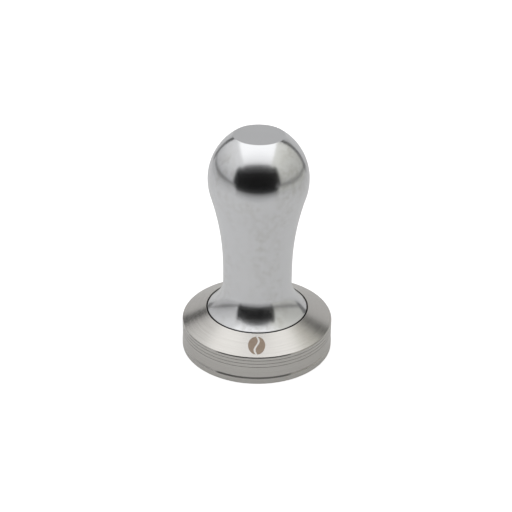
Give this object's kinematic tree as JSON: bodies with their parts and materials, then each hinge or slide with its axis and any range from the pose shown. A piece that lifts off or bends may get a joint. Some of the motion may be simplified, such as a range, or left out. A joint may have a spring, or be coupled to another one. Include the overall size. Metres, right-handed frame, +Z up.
{
  "type": "espresso tamper",
  "caption": "Hand tamper with a flat, round steel base, a bulb-topped aluminium handle that unscrews from it on a threaded stud, and a sealing ring in the joint.",
  "frame": {"origin": "centre of the flat tamping face, where the part stands", "axes": "+Z up the handle along the turning axis; every piece is turned about Z, so X and Y are any two directions across it"},
  "size_m": [0.0584, 0.0584, 0.0884],
  "materials": {
    "stainless_steel": "brushed round its axis",
    "plated_steel": "zinc plated",
    "black_rubber": "smooth",
    "satin_aluminium": "fine turned satin, nearly polished"
  },
  "bodies": {
    "base": {"base": "stainless_steel", "threaded_stud": "plated_steel"},
    "seal": {"o_ring": "black_rubber"},
    "grip": {"handle": "satin_aluminium"}
  },
  "joints": [
    {"name": "handle_lift", "type": "slide", "parent": "base", "child": "seal", "axis": [0, 0, 1], "range_m": [0, 0.0153]},
    {"name": "handle_unscrew", "type": "hinge", "parent": "seal", "child": "grip", "pos_m": [0, 0, 0.0127], "axis": [0, 0, 1], "range_deg": [0, 3672]}
  ],
  "couplings": [
    {"joint": "handle_unscrew", "follows": "handle_lift", "rad_per_m": 4188.8}
  ]
}
